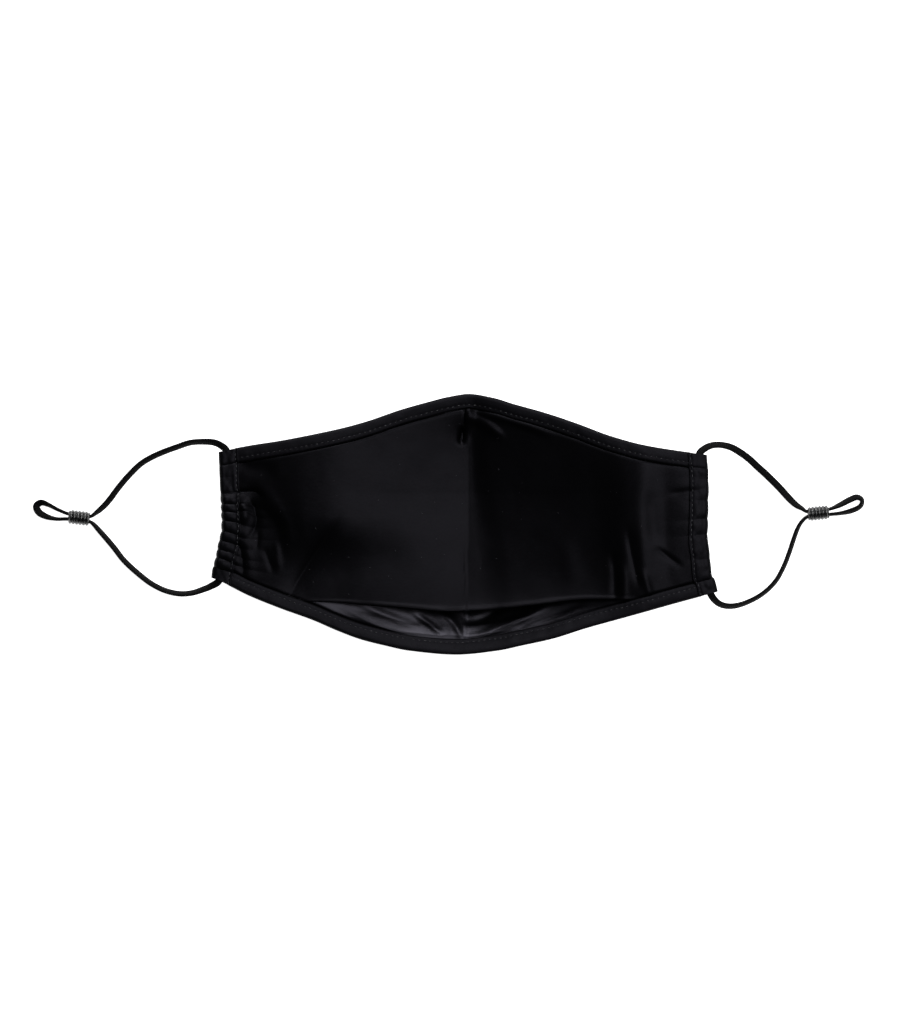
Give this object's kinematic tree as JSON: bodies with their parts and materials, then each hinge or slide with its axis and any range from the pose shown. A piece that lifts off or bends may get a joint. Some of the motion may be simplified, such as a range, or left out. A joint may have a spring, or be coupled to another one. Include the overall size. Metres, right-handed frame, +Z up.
{
  "type": "cloth face mask",
  "caption": "Cupped cloth face mask lying with its wearer's side up, with a filter pocket, bound edges, gathered casings and elastic ear loops with sliding adjusters.",
  "frame": {"origin": "on the surface that the mask lies on, under the middle of the mask without its ear loops", "axes": "+X along the mask towards its right end as seen, +Y towards the nose edge, +Z up, out of the wearer's side"},
  "size_m": [0.3999, 0.1248, 0.0204],
  "materials": {
    "outer_cloth": "black cotton satin, its inner face slightly shiny",
    "lining_cloth": "matt black plain-weave cotton",
    "binding": "black cotton bias tape, edge-stitched",
    "casing": "matt black cotton, gathered and edge-stitched",
    "elastic": "black braided flat elastic",
    "silicone": "dark grey ribbed silicone, semi-gloss"
  },
  "bodies": {
    "root": {"outer_cloth": "outer_cloth", "lining_cloth": "lining_cloth", "top_binding": "binding", "bottom_binding": "binding", "left_casing": "casing", "right_casing": "casing", "left_ear_loop": "elastic", "right_ear_loop": "elastic", "left_adjuster": "silicone", "right_adjuster": "silicone"}
  },
  "joints": []
}
